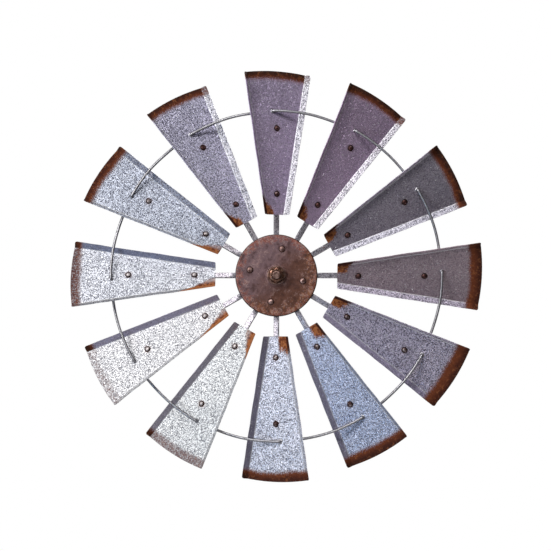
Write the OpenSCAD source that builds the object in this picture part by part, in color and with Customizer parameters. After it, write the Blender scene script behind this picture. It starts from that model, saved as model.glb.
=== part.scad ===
// Garden windmill: a twelve-bladed pinwheel in sheet steel that spins on a stud welded to a wall plate.
// Millimetres. The row frame is +Z up and -Y to the front, with the origin at the centre of the wall
// plate's back face, on the wheel's axis.
// Most modules work in the wheel frame: x to the right, y up, z forward from the wall, and
// facing_front() turns that frame into the row frame. Angles round the wheel run clockwise from the top.

/* [Wheel] */
// Diameter over the blade tips
wheel_d = 610; // [600:1:620]
// Distance from the wall to the middle of the spokes
wheel_stand_off = 32; // [30:1:36]
// Pitch of the blades and the outer spokes, with the clockwise edge set back
pitch = 22; // [16:1:24]

/* [Blades] */
// Radius at which the blades begin
blade_root_r = 90.5; // [88:0.5:96]
// Thickness of the galvanised sheet
sheet_t = 0.8; // [0.6:0.1:1]
// Half width of the panel at its root, on the counterclockwise side
root_left = 15.2; // [14:0.2:17]
// Half width of the panel at its root, on the clockwise side
root_right = 10.5; // [10:0.5:13]
// Half width of the panel at its tip, on the counterclockwise side
tip_left = 49; // [47:0.5:51]
// Half width of the panel at its tip, on the clockwise side
tip_right = 45.8; // [44:0.2:48]
// Width of the flange along each long edge
flange_w = 10; // [9:0.5:11]
// Forward bend of the flanges
flange_bend = 50; // [45:1:55]

/* [Spokes and ring] */
// Width of a spoke's flat bar
spoke_w = 8; // [7:0.5:9]
// Thickness of a spoke's flat bar
spoke_t = 3; // [2.5:0.5:3]
// Radius at which the spokes end, behind the blades
spoke_end_r = 254; // [252:1:260]
// Radius of the ring that the rods follow
ring_r = 245; // [242:1:247]
// Diameter of the ring rods
rod_d = 4; // [3.4:0.1:4.2]

/* [Hub] */
// Diameter of the front hub disc
hub_d = 122; // [116:1:126]
// Thickness of the front hub disc
hub_front_t = 3; // [2.5:0.5:3.5]
// Thickness of the rear hub disc
hub_rear_t = 2; // [2:0.5:3]
// Radius of the circle of hub rivets
hub_rivet_r = 40; // [38:1:42]
// Outer diameter of the sleeve through the hub
sleeve_d = 28; // [26:1:29]

/* [Axle and wall plate] */
// Diameter of the axle stud
axle_d = 12; // [12:1:12]
// Diameter of the wall plate
plate_d = 96; // [94:1:104]
// Thickness of the wall plate
plate_t = 3; // [3:0.5:4]
// Diameter of the circle of wall screws
screw_circle_d = 72; // [68:1:74]
// Diameter of the wall screw holes
screw_hole_d = 5.5; // [5:0.5:6]

/* [Hidden] */
$fn = 96;
hull_fn = 32;
blade_count = 12;
step_angle = 360 / blade_count;
wheel_r = wheel_d / 2;
axle_r = axle_d / 2;
rod_r = rod_d / 2;
reach = 400;                    // longer than anything that it cuts

// Rivets through the blades and spokes
inner_rivet_r = 121.5;
outer_rivet_r = 219.5;
rivet_head_d = 8.2;
rivet_head_h = 2.5;
rivet_shank_d = 4;
rivet_tail_d = 6.4;
rivet_tail_h = 1.6;
fit_gap = 0.05;                 // radial room of a rivet in its hole

// Ring rods: a bent leg goes through the blade beside its spoke, and the far end lies behind the next
// spoke, so a rod slopes towards the wall as it runs clockwise
rod_ball_r = rod_r + 0.1;
rod_leg_l = 9.5;
rod_leg_offset = 6.3;           // from the spoke's centre line to the leg, round the ring
rod_tail = 3;                   // how far the far end passes the next spoke's centre line
rod_front = 7.2;                // forward of the spokes' middle, at the leg
rod_back = 5.3;                 // behind the spokes' middle, at the far end
rod_hole_d = rod_d + 1;
rod_from = -asin(rod_leg_offset / ring_r);
rod_to = step_angle + asin(rod_tail / ring_r);
rod_span = rod_to - rod_from;
rod_tilt = asin((rod_front + rod_back) / 2 / (ring_r * sin(rod_span / 2)));

// Spokes: a flat tang between the hub discs, a twist, then the pitched bar behind the blade
tang_from_r = 22;
twist_from_r = 61.5;
twist_to_r = 72;

// Depths in the wheel frame, measured forward from the wall
tang_back_z = wheel_stand_off - spoke_t / 2;
tang_front_z = wheel_stand_off + spoke_t / 2;
hub_front_z = tang_front_z + hub_front_t;
hub_back_z = tang_back_z - hub_rear_t;
hub_edge_r = 2;                 // rounding of the front hub disc's rim
end_play = 0.3;                 // between the hub sleeve and each washer
sleeve_front_z = hub_front_z + 5;
washer_t = 2.5;
washer_d = 24;
rear_washer_z = hub_back_z - end_play - washer_t;
front_washer_z = sleeve_front_z + end_play;
nut_z = front_washer_z + washer_t;
nut_h = 10;
nut_af = 19;
stud_end_z = nut_z + nut_h + 4;
stud_chamfer = 1.2;
stud_foot_d = 26;
stud_foot_t = 3;
spacer_d = 20;
collar_d = 33;
collar_h = 1.5;
rear_disc_d = 112;
hub_rivet_phase = 12;           // clockwise from the top to the first hub rivet
hub_rivet_count = 4;
hub_rivet_shank_d = 5;
hub_rivet_head_d = 10;
hub_rivet_head_h = 2.8;
bush_d = 17;
bush_l = 5.5;
bush_flange_d = 21;
bush_flange_t = 1;
running_gap = 0.05;             // radial room of a bush on the axle
screw_count = 4;

// ---------- frames ----------

// Turns the wheel frame into the row frame: z forward becomes -Y, y up becomes +Z.
module facing_front() { rotate([90, 0, 0]) children(); }

// Turns things at the top of the wheel clockwise to the position with this number, from 0.
module at_position(index) { rotate([0, 0, -index * step_angle]) children(); }

// The frame of a pitched blade at the top: x clockwise across it, y outwards along it, z out of its face.
module blade_frame(index) {
    translate([0, 0, wheel_stand_off])
        at_position(index)
            rotate([0, pitch, 0])
                children();
}

// ---------- fasteners ----------

// Domed head as a solid of revolution: a spherical cap that sits on z = 0.
module dome(d, h) {
    steps = 10;
    cap_r = (d * d / 4 + h * h) / (2 * h);
    half_angle = asin(d / 2 / cap_r);
    rotate_extrude()
        polygon(concat(
            [[0, 0]],
            [for (i = [0:steps])
                let (a = half_angle * (1 - i / steps))
                [cap_r * sin(a), cap_r * cos(a) - cap_r + h]]
        ));
}

// Set rivet: a head on z = 0, a shank down through the grip, and a flat upset tail behind.
module rivet(head_d, head_h, shank_d, grip, tail_d, tail_h) {
    dome(head_d, head_h);
    translate([0, 0, -grip - tail_h]) cylinder(h = grip + tail_h, d = shank_d);
    translate([0, 0, -grip - tail_h]) cylinder(h = tail_h, d1 = tail_d - 1, d2 = tail_d);
}

// The same blade rivet at one radius on every blade.
module blade_rivets(r) {
    for (i = [0:blade_count - 1])
        blade_frame(i)
            translate([0, r, spoke_t / 2 + sheet_t])
                rivet(rivet_head_d, rivet_head_h, rivet_shank_d, spoke_t + sheet_t,
                      rivet_tail_d, rivet_tail_h);
}

module washer(z) {
    translate([0, 0, z])
        difference() {
            cylinder(h = washer_t, d = washer_d);
            translate([0, 0, -1]) cylinder(h = washer_t + 2, r = axle_r + 0.25);
        }
}

// ---------- blades ----------

// Distance of the panel's edges from its centre line, at a radius.
function left_edge(r) = root_left + (tip_left - root_left) * (r - blade_root_r) / (wheel_r - blade_root_r);
function right_edge(r) = root_right + (tip_right - root_right) * (r - blade_root_r) / (wheel_r - blade_root_r);

// A flange along a panel edge. The edge leaves (x, blade_root_r) and leans by lean degrees from the blade's
// centre line, and the flange is bent forward on the edge's right. The round bar on the fold line closes
// the outside of the bend.
module bent_strip(x, lean) {
    lead_in = 20;
    translate([x, blade_root_r, spoke_t / 2 + sheet_t / 2])
        rotate([0, 0, -lean])
            translate([0, -lead_in, 0]) {
                rotate([0, -flange_bend, 0])
                    translate([0, 0, -sheet_t / 2])
                        cube([flange_w, reach, sheet_t]);
                rotate([-90, 0, 0]) cylinder(h = reach, d = sheet_t);
            }
}

module right_flange() {
    bent_strip(root_right, atan((tip_right - root_right) / (wheel_r - blade_root_r)));
}

module left_flange() {
    mirror([1, 0, 0])
        bent_strip(root_left, atan((tip_left - root_left) / (wheel_r - blade_root_r)));
}

module panel() {
    far_r = wheel_r + 10;
    translate([0, 0, spoke_t / 2])
        linear_extrude(sheet_t)
            polygon([
                [-left_edge(blade_root_r), blade_root_r], [-left_edge(far_r), far_r],
                [right_edge(far_r), far_r], [right_edge(blade_root_r), blade_root_r]
            ]);
}

// What the blank is cut to: round at the tip, square at the root.
module blade_outline() {
    translate([0, 0, -50])
        intersection() {
            cylinder(h = 100, r = wheel_r, $fn = 360);
            translate([-wheel_r, blade_root_r, 0]) cube([2 * wheel_r, wheel_r, 100]);
        }
}

module blade(index) {
    color("lightsteelblue")
        difference() {
            blade_frame(index)
                difference() {
                    intersection() {
                        union() {
                            panel();
                            right_flange();
                            left_flange();
                        }
                        blade_outline();
                    }
                    for (r = [inner_rivet_r, outer_rivet_r])
                        translate([0, r, 0]) cylinder(h = 10, d = rivet_shank_d + 2 * fit_gap);
                }
            translate([0, 0, wheel_stand_off])
                at_position(index)
                    translate([-rod_leg_offset, ring_r, 0]) cylinder(h = 20, d = rod_hole_d);
        }
}

// ---------- spokes and ring ----------

// The hull between the flat tang and the pitched bar is the spoke's twist.
module spoke(index) {
    overlap = 0.5;
    color("slategray")
        translate([0, 0, wheel_stand_off])
            at_position(index) {
                translate([-spoke_w / 2, tang_from_r, -spoke_t / 2])
                    cube([spoke_w, twist_from_r - tang_from_r, spoke_t]);
                hull() {
                    translate([-spoke_w / 2, twist_from_r - overlap, -spoke_t / 2])
                        cube([spoke_w, overlap, spoke_t]);
                    rotate([0, pitch, 0])
                        translate([-spoke_w / 2, twist_to_r, -spoke_t / 2])
                            cube([spoke_w, overlap, spoke_t]);
                }
                rotate([0, pitch, 0])
                    difference() {
                        translate([-spoke_w / 2, twist_to_r, -spoke_t / 2])
                            cube([spoke_w, spoke_end_r - twist_to_r, spoke_t]);
                        for (r = [inner_rivet_r, outer_rivet_r])
                            translate([0, r, -5]) cylinder(h = 10, d = rivet_shank_d + 2 * fit_gap);
                    }
            }
}

// Arc of round rod with its end turned down through a blade. The ball is the outside of the bend.
module ring_rod(index) {
    color("silver")
        translate([0, 0, wheel_stand_off + (rod_front - rod_back) / 2])
            rotate([0, 0, -index * step_angle - (rod_from + rod_to) / 2])
                rotate([0, rod_tilt, 0]) {
                    rotate([0, 0, 90 - rod_span / 2])
                        rotate_extrude(angle = rod_span, $fn = 720)
                            translate([ring_r, 0]) circle(r = rod_r, $fn = hull_fn);
                    rotate([0, 0, 90 + rod_span / 2])
                        translate([ring_r, 0, 0]) {
                            sphere(r = rod_ball_r);
                            translate([0, 0, -rod_leg_l]) cylinder(h = rod_leg_l, r = rod_r);
                        }
                }
}

// ---------- hub ----------

// Flat disc with a rounded front rim.
module front_hub_disc() {
    rim_steps = 8;
    color("saddlebrown")
        translate([0, 0, tang_front_z])
            difference() {
                rotate_extrude()
                    polygon(concat(
                        [[sleeve_d / 2, 0], [hub_d / 2, 0]],
                        [for (i = [0:rim_steps])
                            let (a = 90 * i / rim_steps)
                            [hub_d / 2 - hub_edge_r * (1 - cos(a)), hub_front_t - hub_edge_r * (1 - sin(a))]],
                        [[sleeve_d / 2, hub_front_t]]
                    ));
                hub_rivet_places() translate([0, 0, -1])
                    cylinder(h = hub_front_t + 2, d = hub_rivet_shank_d + 2 * fit_gap);
            }
}

module rear_hub_disc() {
    color("saddlebrown")
        translate([0, 0, hub_back_z])
            difference() {
                cylinder(h = hub_rear_t, d = rear_disc_d);
                translate([0, 0, -1]) cylinder(h = hub_rear_t + 2, d = sleeve_d);
                hub_rivet_places() translate([0, 0, -1])
                    cylinder(h = hub_rear_t + 2, d = hub_rivet_shank_d + 2 * fit_gap);
            }
}

module hub_rivet_places() {
    for (i = [0:hub_rivet_count - 1])
        rotate([0, 0, -hub_rivet_phase - i * 360 / hub_rivet_count])
            translate([0, hub_rivet_r, 0])
                children();
}

module hub_rivets() {
    color("sienna")
        hub_rivet_places()
            translate([0, 0, hub_front_z])
                rivet(hub_rivet_head_d, hub_rivet_head_h, hub_rivet_shank_d,
                      hub_front_z - hub_back_z, rivet_tail_d + 2, rivet_tail_h);
}

// Ring pressed over the sleeve, on the face of the front disc.
module hub_collar() {
    color("sienna")
        translate([0, 0, hub_front_z])
            difference() {
                cylinder(h = collar_h, d1 = collar_d, d2 = collar_d - 2 * collar_h);
                translate([0, 0, -1]) cylinder(h = collar_h + 2, d = sleeve_d);
            }
}

// Turned sleeve through both discs, bored for a flanged bush at each end.
module hub_sleeve() {
    sleeve_l = sleeve_front_z - hub_back_z;
    color("dimgray")
        translate([0, 0, hub_back_z])
            difference() {
                cylinder(h = sleeve_l, d = sleeve_d);
                translate([0, 0, -1]) cylinder(h = sleeve_l + 2, d = bush_d);
                for (z = [-1, sleeve_l - bush_flange_t])
                    translate([0, 0, z]) cylinder(h = bush_flange_t + 1, d = bush_flange_d);
            }
}

// Flanged plain bush, with its flange on z = 0 and its body along +z.
module bush() {
    color("peru")
        difference() {
            union() {
                cylinder(h = bush_l, d = bush_d);
                cylinder(h = bush_flange_t, d = bush_flange_d);
            }
            translate([0, 0, -1]) cylinder(h = bush_l + 2, r = axle_r + running_gap);
        }
}

// ---------- axle and wall plate ----------

module wall_plate() {
    color("gray")
        difference() {
            cylinder(h = plate_t, d = plate_d);
            for (i = [0:screw_count - 1])
                rotate([0, 0, 45 + i * 360 / screw_count])
                    translate([screw_circle_d / 2, 0, -1])
                        cylinder(h = plate_t + 2, d = screw_hole_d);
        }
}

// Stud with a round foot that is welded to the wall plate.
module axle_stud() {
    color("dimgray")
        translate([0, 0, plate_t]) {
            cylinder(h = stud_foot_t, d = stud_foot_d);
            cylinder(h = stud_end_z - plate_t - stud_chamfer, r = axle_r);
            translate([0, 0, stud_end_z - plate_t - stud_chamfer])
                cylinder(h = stud_chamfer, r1 = axle_r, r2 = axle_r - stud_chamfer);
        }
}

module spacer_tube() {
    foot_z = plate_t + stud_foot_t;
    color("gray")
        translate([0, 0, foot_z])
            difference() {
                cylinder(h = rear_washer_z - foot_z, d = spacer_d);
                translate([0, 0, -1]) cylinder(h = rear_washer_z - foot_z + 2, r = axle_r + 0.25);
            }
}

// Hexagon nut with chamfered corners.
module axle_nut() {
    corner_d = nut_af / cos(30);
    color("saddlebrown")
        translate([0, 0, nut_z])
            difference() {
                intersection() {
                    cylinder(h = nut_h, d = corner_d, $fn = 6);
                    cylinder(h = nut_h, d1 = corner_d + 2 * nut_h, d2 = nut_af);
                }
                translate([0, 0, -1]) cylinder(h = nut_h + 2, r = axle_r);
            }
}

// ---------- the nodes ----------

function numbered(stem, index) = str(stem, index < 9 ? "0" : "", index + 1);

facing_front() {
    for (i = [0:blade_count - 1]) {
        blade(i);
        spoke(i);
        ring_rod(i);
    }
    color("sienna") blade_rivets(outer_rivet_r);  // outer_blade_rivets
    color("sienna") blade_rivets(inner_rivet_r);  // inner_blade_rivets
    front_hub_disc();
    rear_hub_disc();
    hub_rivets();
    hub_collar();
    hub_sleeve();
    translate([0, 0, sleeve_front_z]) mirror([0, 0, 1]) bush();  // front_bush
    translate([0, 0, hub_back_z]) bush();  // rear_bush
    wall_plate();
    axle_stud();
    spacer_tube();
    color("silver") washer(rear_washer_z);  // rear_washer
    color("sienna") washer(front_washer_z);  // front_washer
    axle_nut();
}
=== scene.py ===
import math

import bmesh
import bpy
import numpy as np
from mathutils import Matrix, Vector


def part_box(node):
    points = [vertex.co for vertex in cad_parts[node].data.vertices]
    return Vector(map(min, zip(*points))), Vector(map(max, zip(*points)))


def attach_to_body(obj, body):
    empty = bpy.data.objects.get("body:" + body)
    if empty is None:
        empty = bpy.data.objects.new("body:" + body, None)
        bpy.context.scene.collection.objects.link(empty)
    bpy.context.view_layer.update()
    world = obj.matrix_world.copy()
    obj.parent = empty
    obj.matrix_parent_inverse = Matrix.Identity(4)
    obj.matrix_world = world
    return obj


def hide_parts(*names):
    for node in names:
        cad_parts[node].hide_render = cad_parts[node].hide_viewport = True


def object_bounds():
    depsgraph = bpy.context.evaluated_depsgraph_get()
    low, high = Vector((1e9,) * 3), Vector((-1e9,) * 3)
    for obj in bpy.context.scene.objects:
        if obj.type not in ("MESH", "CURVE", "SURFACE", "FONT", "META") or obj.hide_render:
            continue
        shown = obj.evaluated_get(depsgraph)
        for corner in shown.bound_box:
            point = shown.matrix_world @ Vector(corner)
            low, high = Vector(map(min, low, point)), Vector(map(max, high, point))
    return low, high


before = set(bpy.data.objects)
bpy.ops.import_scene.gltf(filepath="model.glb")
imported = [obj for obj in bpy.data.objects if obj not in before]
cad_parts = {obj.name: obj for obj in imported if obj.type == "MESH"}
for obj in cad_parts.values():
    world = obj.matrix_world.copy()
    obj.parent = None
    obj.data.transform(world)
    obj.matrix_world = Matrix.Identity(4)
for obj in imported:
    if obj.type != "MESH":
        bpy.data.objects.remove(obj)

# The garden windmill's visual model. Depths and the outer size come from the CAD frame. Modelling is done in
# millimetres in the wheel frame (x right, y up, z forward from the wall), and row_frame() turns that into
# metres in the row frame. Angles round the wheel run clockwise from the top.
CAD_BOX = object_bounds()
MM = 0.001
BLADE_COUNT = 12
STEP = math.radians(360 / BLADE_COUNT)


def depths(node):
    """Lowest and highest distance of a CAD node from the wall, in millimetres."""
    low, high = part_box(node)
    return -high.y / MM, -low.y / MM


def reach(node):
    """Half the width of a CAD node round the wheel's axis, in millimetres."""
    low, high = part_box(node)
    return (high.x - low.x) / 2 / MM


FRONT_DISC, REAR_DISC = depths("front_hub_disc"), depths("rear_hub_disc")
SLEEVE, COLLAR = depths("hub_sleeve"), depths("hub_collar")
FRONT_WASHER, REAR_WASHER = depths("front_washer"), depths("rear_washer")
STUD, NUT = depths("axle_stud"), depths("axle_nut")
PLATE, SPACER = depths("wall_plate"), depths("spacer_tube")
MIDDLE = (REAR_DISC[1] + FRONT_DISC[0]) / 2  # of the spokes
WHEEL_R = (CAD_BOX[1].z - CAD_BOX[0].z) / 2 / MM

# Blades, in their own frame: x clockwise across, y outwards along the spoke, z out of the face
PITCH = math.radians(22)
ROOT_R = 90.5
TIP_R = WHEEL_R - 0.4
SHEET_T = 0.8
ROOT_LEFT, ROOT_RIGHT = 15.2, 10.5  # from the centre line to the two folds at the root
TIP_LEFT, TIP_RIGHT = 49.0, 45.8  # and at the edge of the wheel
FLANGE_W, FLANGE_BEND = 10.0, math.radians(50)
BEND_R = 1.3
TIP_CORNER_R, ROOT_CORNER_R = 3.0, 1.4
SPOKE_W, SPOKE_T = 8.0, 3.0
SHEET_Z = SPOKE_T / 2 + SHEET_T / 2

# Ring rods: the arc's two ends stand in front of and behind the middle plane
RING_R, ROD_R = 245.0, 2.0
ROD_BEND_R = 3.2
ROD_FRONT, ROD_BACK = 7.2, 5.3
ROD_LEG = 9.5
ROD_LEG_OFFSET, ROD_TAIL = 6.3, 3.0  # past the centre lines of its two blades
ROD_HOLE_R = ROD_R + 0.45
ROD_SEAT = 4.0  # height of the blade at the leg

# Rivets
INNER_RIVET_R, OUTER_RIVET_R = 121.5, 219.5
HEAD_D, HEAD_H, SHANK_D, TAIL_D = 8.2, 2.5, 4.0, 6.4
HUB_RIVET_COUNT, HUB_RIVET_R, HUB_RIVET_PHASE = 4, 40.0, math.radians(12)
HUB_HEAD_D, HUB_HEAD_H, HUB_SHANK_D, HUB_TAIL_D = 10.0, 2.8, 5.0, 8.4
TAIL_H = 1.6

# Hub and axle
HUB_DISC_R, BORE_R = 61.0, 14.0
SLEEVE_BORE_R, BUSH_SEAT_R, BUSH_BORE_R = 8.5, 10.5, 6.05
AXLE_R, AXLE_HOLE_R = 6.0, 6.25
WASHER_R, SPACER_R = 12.0, 10.0
THREAD_PITCH, THREAD_DEPTH = 1.75, 0.75
SCREW_COUNT, SCREW_CIRCLE_R, SCREW_HOLE_R = 4, 36.0, 2.75

# First seed of each random shape; a set of pieces counts up from it
DENT_SEED, RIPPLE_SEED, EDGE_SEED, SPOKE_SEED, ROD_SEED = 100, 200, 300, 400, 500
ARC_WELD_SEED, LEG_WELD_SEED = 600, 640
HUB_RIVET_SEED, OUTER_RIVET_SEED, INNER_RIVET_SEED = 700, 720, 750
HUB_FACE_SEED, HUB_RIM_SEED, STUD_WELD_SEED = 801, 802, 901

FAR = 99.0  # more than any distance that matters


# ---------- frames ----------

def row_frame(points):
    """Wheel-frame millimetres to row-frame metres."""
    p = np.asarray(points, float)
    return np.stack([p[..., 0], -p[..., 2], p[..., 1]], -1) * MM


def turned(points, angle):
    """Turned clockwise round the wheel's axis."""
    p = np.asarray(points, float)
    c, s = math.cos(angle), math.sin(angle)
    return np.stack([c * p[..., 0] + s * p[..., 1], -s * p[..., 0] + c * p[..., 1], p[..., 2]], -1)


def tilted(points, angle):
    """Turned about y, so that +x goes back and -x comes forward."""
    p = np.asarray(points, float)
    c, s = math.cos(angle), math.sin(angle)
    return np.stack([c * p[..., 0] + s * p[..., 2], p[..., 1], -s * p[..., 0] + c * p[..., 2]], -1)


def blade_to_wheel(points, index):
    return turned(tilted(points, PITCH), index * STEP) + [0, 0, MIDDLE]


def smooth(t):
    """A smooth rise from 0 at 0 to 1 at 1."""
    t = np.clip(t, 0, 1)
    return t * t * (3 - 2 * t)


class Waves:
    """Smooth seeded noise over x and y, about -1 to 1: a sum of sines in random directions."""

    def __init__(self, seed, shortest, longest, count=9):
        rng = np.random.default_rng(seed)
        angle = rng.uniform(0, 2 * math.pi, count)
        length = np.exp(rng.uniform(math.log(shortest), math.log(longest), count))
        self.k = np.stack([np.cos(angle), np.sin(angle)]) * 2 * math.pi / length
        self.phase = rng.uniform(0, 2 * math.pi, count)
        self.weight = np.sqrt(length / longest)
        self.weight /= np.sqrt((self.weight ** 2).sum() / 2) * 1.6

    def __call__(self, x, y):
        x, y = np.asarray(x, float)[..., None], np.asarray(y, float)[..., None]
        return (np.sin(x * self.k[0] + y * self.k[1] + self.phase) * self.weight).sum(-1)


# ---------- meshes ----------

def grid_faces(rows, columns, start=0, wrap_rows=False, wrap_columns=False):
    """Quads of a grid of rows by columns. A wrap joins the last row or column to the first."""
    faces = []
    for i in range(rows if wrap_rows else rows - 1):
        here, above = start + i * columns, start + (i + 1) % rows * columns
        for j in range(columns if wrap_columns else columns - 1):
            k = (j + 1) % columns
            faces.append((here + j, here + k, above + k, above + j))
    return faces


def joined(parts):
    """One (points, faces) from several."""
    points, faces, start = [], [], 0
    for p, f in parts:
        points.append(np.asarray(p, float).reshape(-1, 3))
        faces += [tuple(i + start for i in face) for face in f]
        start += len(points[-1])
    return np.concatenate(points), faces


def lathe(profile, segments, closed=False, shape=None):
    """A profile of (radius, z) turned round the z axis: a ring if it is closed, or with flat ends or poles.

    shape(radius, angle, z) may move the points, and returns (radius, z).
    """
    rings = [p for p in profile if p[0] > 0]
    r, z = (np.array([p[k] for p in rings])[:, None] * np.ones(segments) for k in (0, 1))
    a = np.ones(len(rings))[:, None] * np.arange(segments) * 2 * math.pi / segments
    if shape:
        r, z = shape(r, a, z)
    points = np.stack([r * np.cos(a), r * np.sin(a), z], -1).reshape(-1, 3)
    faces = grid_faces(len(rings), segments, wrap_rows=closed, wrap_columns=True)
    if closed:
        return points, faces
    for end, ring in ((0, 0), (-1, len(rings) - 1)):
        around = [ring * segments + j for j in range(segments)]
        if profile[end][0] == 0:
            pole = len(points)
            centre_z = z[ring].mean() + profile[end][1] - rings[ring][1]
            points = np.vstack([points, [0, 0, centre_z]])
            faces += [(pole, i, j) for i, j in zip(around, around[1:] + around[:1])]
        else:
            faces.append(tuple(around))
    return points, faces


def rounded_profile(corners, radius, steps=4):
    """A closed profile of (radius, z) points with each corner rounded."""
    out = []
    count = len(corners)
    for i in range(count):
        p, a, b = (np.array(corners[j % count], float) for j in (i, i - 1, i + 1))
        da, db = a - p, b - p
        la, lb = np.linalg.norm(da), np.linalg.norm(db)
        cut = min(radius, la * 0.45, lb * 0.45)
        start, stop = p + da / la * cut, p + db / lb * cut
        for t in np.linspace(0, 1, steps + 1):
            out.append(tuple((1 - t) ** 2 * start + 2 * t * (1 - t) * p + t * t * stop))
    return out


def subdivided(profile, longest):
    """A closed profile with no stretch longer than this."""
    out = []
    for i, a in enumerate(profile):
        b = profile[(i + 1) % len(profile)]
        n = max(1, math.ceil(math.dist(a, b) / longest))
        out += [(a[0] + (b[0] - a[0]) * k / n, a[1] + (b[1] - a[1]) * k / n) for k in range(n)]
    return out


def sweep(path, section):
    """A section of (side, up) points carried along a path of (point, side vector, up vector)."""
    section = np.asarray(section, float)
    points = np.concatenate([np.asarray(p) + section[:, :1] * np.asarray(s) + section[:, 1:] * np.asarray(u)
                             for p, s, u in path])
    n = len(section)
    faces = grid_faces(len(path), n, wrap_columns=True)
    return points, faces + [tuple(range(n)), tuple(range(len(points) - n, len(points)))]


def new_object(name, data):
    obj = bpy.data.objects.new(name, data)
    bpy.context.scene.collection.objects.link(obj)
    return obj


def solid(name, points, faces):
    """An object from wheel-frame points, with its faces turned outwards."""
    mesh = bpy.data.meshes.new(name)
    mesh.from_pydata(row_frame(points).tolist(), [], [list(f) for f in faces])
    bm = bmesh.new()
    bm.from_mesh(mesh)
    bmesh.ops.recalc_face_normals(bm, faces=bm.faces)
    bm.to_mesh(mesh)
    bm.free()
    return new_object(name, mesh)


def shade(mesh, angle):
    mesh.shade_smooth()
    mesh.set_sharp_from_angle(angle=math.radians(angle))


def make(name, points, faces, material, body, replaced, smooth_angle):
    """A piece from wheel-frame points: it rides on its body and stands for its CAD nodes."""
    obj = solid(name, points, faces)
    obj.data.materials.append(material)
    shade(obj.data, smooth_angle)
    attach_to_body(obj, body)
    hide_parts(*replaced)
    return obj


def drill(obj, at, radius):
    """Cuts a round hole along the wheel's axis right through obj at a wheel-frame point."""
    half = 6.0
    points, faces = lathe([(0, -half), (radius, -half), (radius, half), (0, half)], 24)
    cutter = solid("cutter", points + np.asarray(at), faces)
    hole = obj.modifiers.new("hole", "BOOLEAN")
    hole.operation, hole.solver, hole.object = "DIFFERENCE", "EXACT", cutter
    bpy.context.view_layer.update()
    done = bpy.data.meshes.new_from_object(obj.evaluated_get(bpy.context.evaluated_depsgraph_get()))
    obj.modifiers.clear()
    spent = (obj.data, cutter.data)
    obj.data = done
    bpy.data.objects.remove(cutter)
    for mesh in spent:
        bpy.data.meshes.remove(mesh)


def attach(mesh, name, values):
    """A number or a vector at each point of a mesh, for its material."""
    kind, key = ("FLOAT", "value") if values.ndim == 1 else ("FLOAT_VECTOR", "vector")
    mesh.attributes.new(name, kind, "POINT").data.foreach_set(key, values.astype(np.float32).ravel())


# ---------- materials ----------

class Nodes:
    """A material being built. Colours and factors are sockets or plain values."""

    def __init__(self, name, **constants):
        self.material = bpy.data.materials.new(name)
        self.material.use_nodes = True
        self.tree = self.material.node_tree
        self.shader = self.tree.nodes["Principled BSDF"]
        self.set(**constants)
        coordinates = self.add("TexCoord")
        self.place, self.normal = coordinates.outputs["Object"], coordinates.outputs["Normal"]

    def add(self, kind, inputs=None, **settings):
        node = self.tree.nodes.new("ShaderNode" + kind)
        for key, value in settings.items():
            setattr(node, key, value)
        for key, value in (inputs or {}).items():
            self.give(node.inputs[key], value)
        return node

    def give(self, socket, value):
        if isinstance(value, bpy.types.NodeSocket):
            self.tree.links.new(value, socket)
        elif socket.type == "RGBA" and len(value) == 3:
            socket.default_value = (*value, 1)
        else:
            socket.default_value = value

    def set(self, **sockets):
        for key, value in sockets.items():
            self.give(self.shader.inputs[key.replace("_", " ")], value)

    def math(self, operation, a, b=0.0, c=0.0):
        return self.add("Math", {0: a, 1: b, 2: c}, operation=operation).outputs[0]

    def times(self, first, *others):
        """The product of several values."""
        for other in others:
            first = self.math("MULTIPLY", first, other)
        return first

    def most(self, first, *others):
        """The highest of several values."""
        for other in others:
            first = self.math("MAXIMUM", first, other)
        return first

    def scaled(self, value, gain, base):
        return self.math("MULTIPLY_ADD", value, gain, base)

    def moved(self, value, noise, amount):
        """value moved up and down by a noise."""
        return self.scaled(self.math("SUBTRACT", noise, 0.5), amount, value)

    def hypot(self, a, b):
        return self.math("SQRT", self.math("ADD", self.times(a, a), self.times(b, b)))

    def steps(self, value, low, high):
        """0 below low and 1 above high, smoothly; low may be above high."""
        node = self.add("MapRange", {"Value": value, "From Min": low, "From Max": high},
                        interpolation_type="SMOOTHSTEP")
        return node.outputs["Result"]

    def part(self, vector, axis):
        return self.add("SeparateXYZ", {0: vector}).outputs[axis]

    def attribute(self, name, output="Fac"):
        return self.add("Attribute", attribute_name=name).outputs[output]

    def noise(self, scale, detail, roughness, where=None):
        inputs = {"Vector": where or self.place, "Scale": scale, "Detail": detail, "Roughness": roughness}
        return self.add("TexNoise", inputs).outputs["Fac"]

    def cells(self, scale):
        return self.add("TexVoronoi", {"Vector": self.place, "Scale": scale}).outputs["Color"]

    def mix(self, factor, a, b, blend="MIX"):
        node = self.add("Mix", data_type="RGBA", blend_type=blend)
        colours = [s for s in node.inputs if s.type == "RGBA"]
        for socket, value in ((node.inputs[0], factor), (colours[0], a), (colours[1], b)):
            self.give(socket, value)
        return next(s for s in node.outputs if s.type == "RGBA")

    def painted(self, colour, *coats):
        """A colour with coats over it, each given as (factor, colour)."""
        for factor, over in coats:
            colour = self.mix(factor, colour, over)
        return colour

    def facets(self, scale, tilt, rare_tilt):
        """The normal leaned a random way in each crystal cell, much further in a few."""
        def vector(operation, inputs):
            return self.add("VectorMath", inputs, operation=operation).outputs[0]

        cell = self.cells(scale)
        rare = self.math("POWER", self.part(cell, "Z"), 7.0)
        lean = vector("ADD", {0: cell, 1: (-0.5, -0.5, -0.5)})
        lean = vector("SCALE", {0: lean, "Scale": self.scaled(rare, rare_tilt, tilt)})
        normal = self.add("NewGeometry").outputs["Normal"]
        return vector("NORMALIZE", {0: vector("ADD", {0: normal, 1: lean})})

    def bump(self, height, distance, normal=None):
        node = self.add("Bump", {"Height": height, "Distance": distance, "Strength": 1.0})
        if normal:
            self.give(node.inputs["Normal"], normal)
        self.set(Normal=node.outputs["Normal"])


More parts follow.
